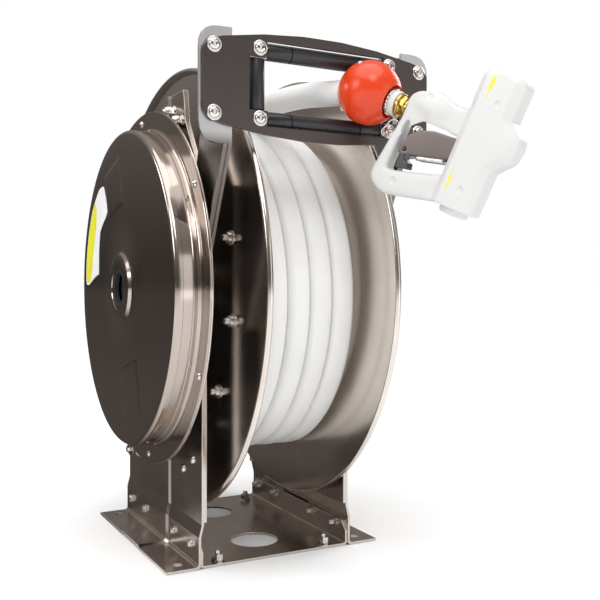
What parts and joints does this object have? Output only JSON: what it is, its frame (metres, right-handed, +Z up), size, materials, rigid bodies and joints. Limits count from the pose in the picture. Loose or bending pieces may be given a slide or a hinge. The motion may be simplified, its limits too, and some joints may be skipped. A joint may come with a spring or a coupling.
{
  "type": "hose reel",
  "caption": "Spring-rewind washdown hose reel on a folded steel stand, with a two-disc drum, spring case, roller guide, ball stop and trigger wash gun",
  "frame": {"origin": "centre of the base pan's underside, on the floor under the drum's axle", "axes": "+X along the drum's axle from the spring case to the water inlet, +Y from the front, where the hose leaves, to the back, +Z up"},
  "size_m": [0.3365, 0.7693, 0.6585],
  "materials": {
    "brushed_stainless": "brushed stainless sheet with a warm grey reflection",
    "polished_stainless": "polished stainless, turned parts and bright fasteners",
    "spring_steel": "blued spring strip",
    "black_rubber": "matt black seal",
    "black_nylon": "satin black nylon",
    "white_hose": "smooth white washdown hose cover",
    "white_rubber": "smooth white rubber cover",
    "orange_plastic": "glossy orange-red",
    "brass": "machined brass"
  },
  "bodies": {
    "stand": {"base_pan": "brushed_stainless", "upright_left": "brushed_stainless", "upright_right": "brushed_stainless", "floor_bolt_1": "polished_stainless", "floor_bolt_2": "polished_stainless", "floor_bolt_3": "polished_stainless", "floor_bolt_4": "polished_stainless", "bearing_left": "brushed_stainless", "bearing_right": "brushed_stainless", "pawl_pin": "polished_stainless", "case_cover": "polished_stainless", "case_back": "polished_stainless", "power_spring": "spring_steel", "hub_seal": "black_rubber", "guide_plate": "brushed_stainless", "guide_arm_left": "brushed_stainless", "guide_arm_right": "brushed_stainless", "roller_pin_top": "polished_stainless", "roller_pin_bottom": "polished_stainless", "roller_pin_left": "polished_stainless", "roller_pin_right": "polished_stainless", "roller_block_left_top": "brushed_stainless", "roller_block_left_bottom": "brushed_stainless", "roller_block_right_top": "brushed_stainless", "roller_block_right_bottom": "brushed_stainless", "hose_run": "white_hose", "ball_half_near": "orange_plastic", "ball_half_far": "orange_plastic", "hose_ferrule": "white_rubber", "swivel_stem": "brass", "inlet_elbow": "brass"},
    "drum": {"drum_disc_left": "polished_stainless", "drum_disc_right": "polished_stainless", "drum_barrel": "brushed_stainless", "outlet_riser": "polished_stainless", "hose_core": "white_hose", "hose_winding": "white_hose", "axle": "polished_stainless", "ratchet_wheel": "brushed_stainless", "spring_arbor": "brushed_stainless"},
    "pawl": {"ratchet_pawl": "brushed_stainless"},
    "roller_top": {"roller_top": "black_nylon"},
    "roller_bottom": {"roller_bottom": "black_nylon"},
    "roller_left": {"roller_left": "black_nylon"},
    "roller_right": {"roller_right": "black_nylon"},
    "gun": {"swivel_nut": "brass", "gun_body": "white_rubber", "nozzle_ring": "white_rubber", "nozzle_tip": "polished_stainless", "lever_pin": "polished_stainless"},
    "trigger": {"trigger_lever": "brushed_stainless"},
    "catch": {"trigger_catch": "polished_stainless"},
    "stem": {"valve_stem": "polished_stainless"}
  },
  "joints": [
    {"name": "drum_spin", "type": "hinge", "parent": "stand", "child": "drum", "pos_m": [0.002, 0, 0.354], "axis": [1, 0, 0], "continuous": true},
    {"name": "pawl_swing", "type": "hinge", "parent": "stand", "child": "pawl", "pos_m": [-0.0962, -0.04038, 0.42993], "axis": [1, 0, 0], "range_deg": [0, 17]},
    {"name": "roller_top_spin", "type": "hinge", "parent": "stand", "child": "roller_top", "pos_m": [0.007, -0.258, 0.6305], "axis": [1, 0, 0], "continuous": true},
    {"name": "roller_bottom_spin", "type": "hinge", "parent": "stand", "child": "roller_bottom", "pos_m": [0.007, -0.258, 0.5515], "axis": [1, 0, 0], "continuous": true},
    {"name": "roller_left_spin", "type": "hinge", "parent": "stand", "child": "roller_left", "pos_m": [-0.082, -0.258, 0.591], "axis": [0, 0, 1], "continuous": true},
    {"name": "roller_right_spin", "type": "hinge", "parent": "stand", "child": "roller_right", "pos_m": [0.096, -0.258, 0.591], "axis": [0, 0, 1], "continuous": true},
    {"name": "gun_swivel", "type": "hinge", "parent": "stand", "child": "gun", "pos_m": [0.07827, -0.32791, 0.56911], "axis": [0.4397, -0.7933, -0.421], "continuous": true},
    {"name": "trigger_squeeze", "type": "hinge", "parent": "gun", "child": "trigger", "pos_m": [0.11393, -0.39225, 0.51621], "axis": [0.8746, 0.4848, 0], "range_deg": [0, 8]},
    {"name": "catch_swing", "type": "hinge", "parent": "trigger", "child": "catch", "pos_m": [0.07984, -0.33075, 0.51909], "axis": [0.8746, 0.4848, 0], "range_deg": [-30, 0]},
    {"name": "stem_slide", "type": "slide", "parent": "gun", "child": "stem", "axis": [-0.2041, 0.3682, -0.907], "range_m": [0, 0.0027]}
  ],
  "couplings": [
    {"joint": "stem_slide", "follows": "trigger_squeeze", "m_per_rad": 0.019}
  ]
}
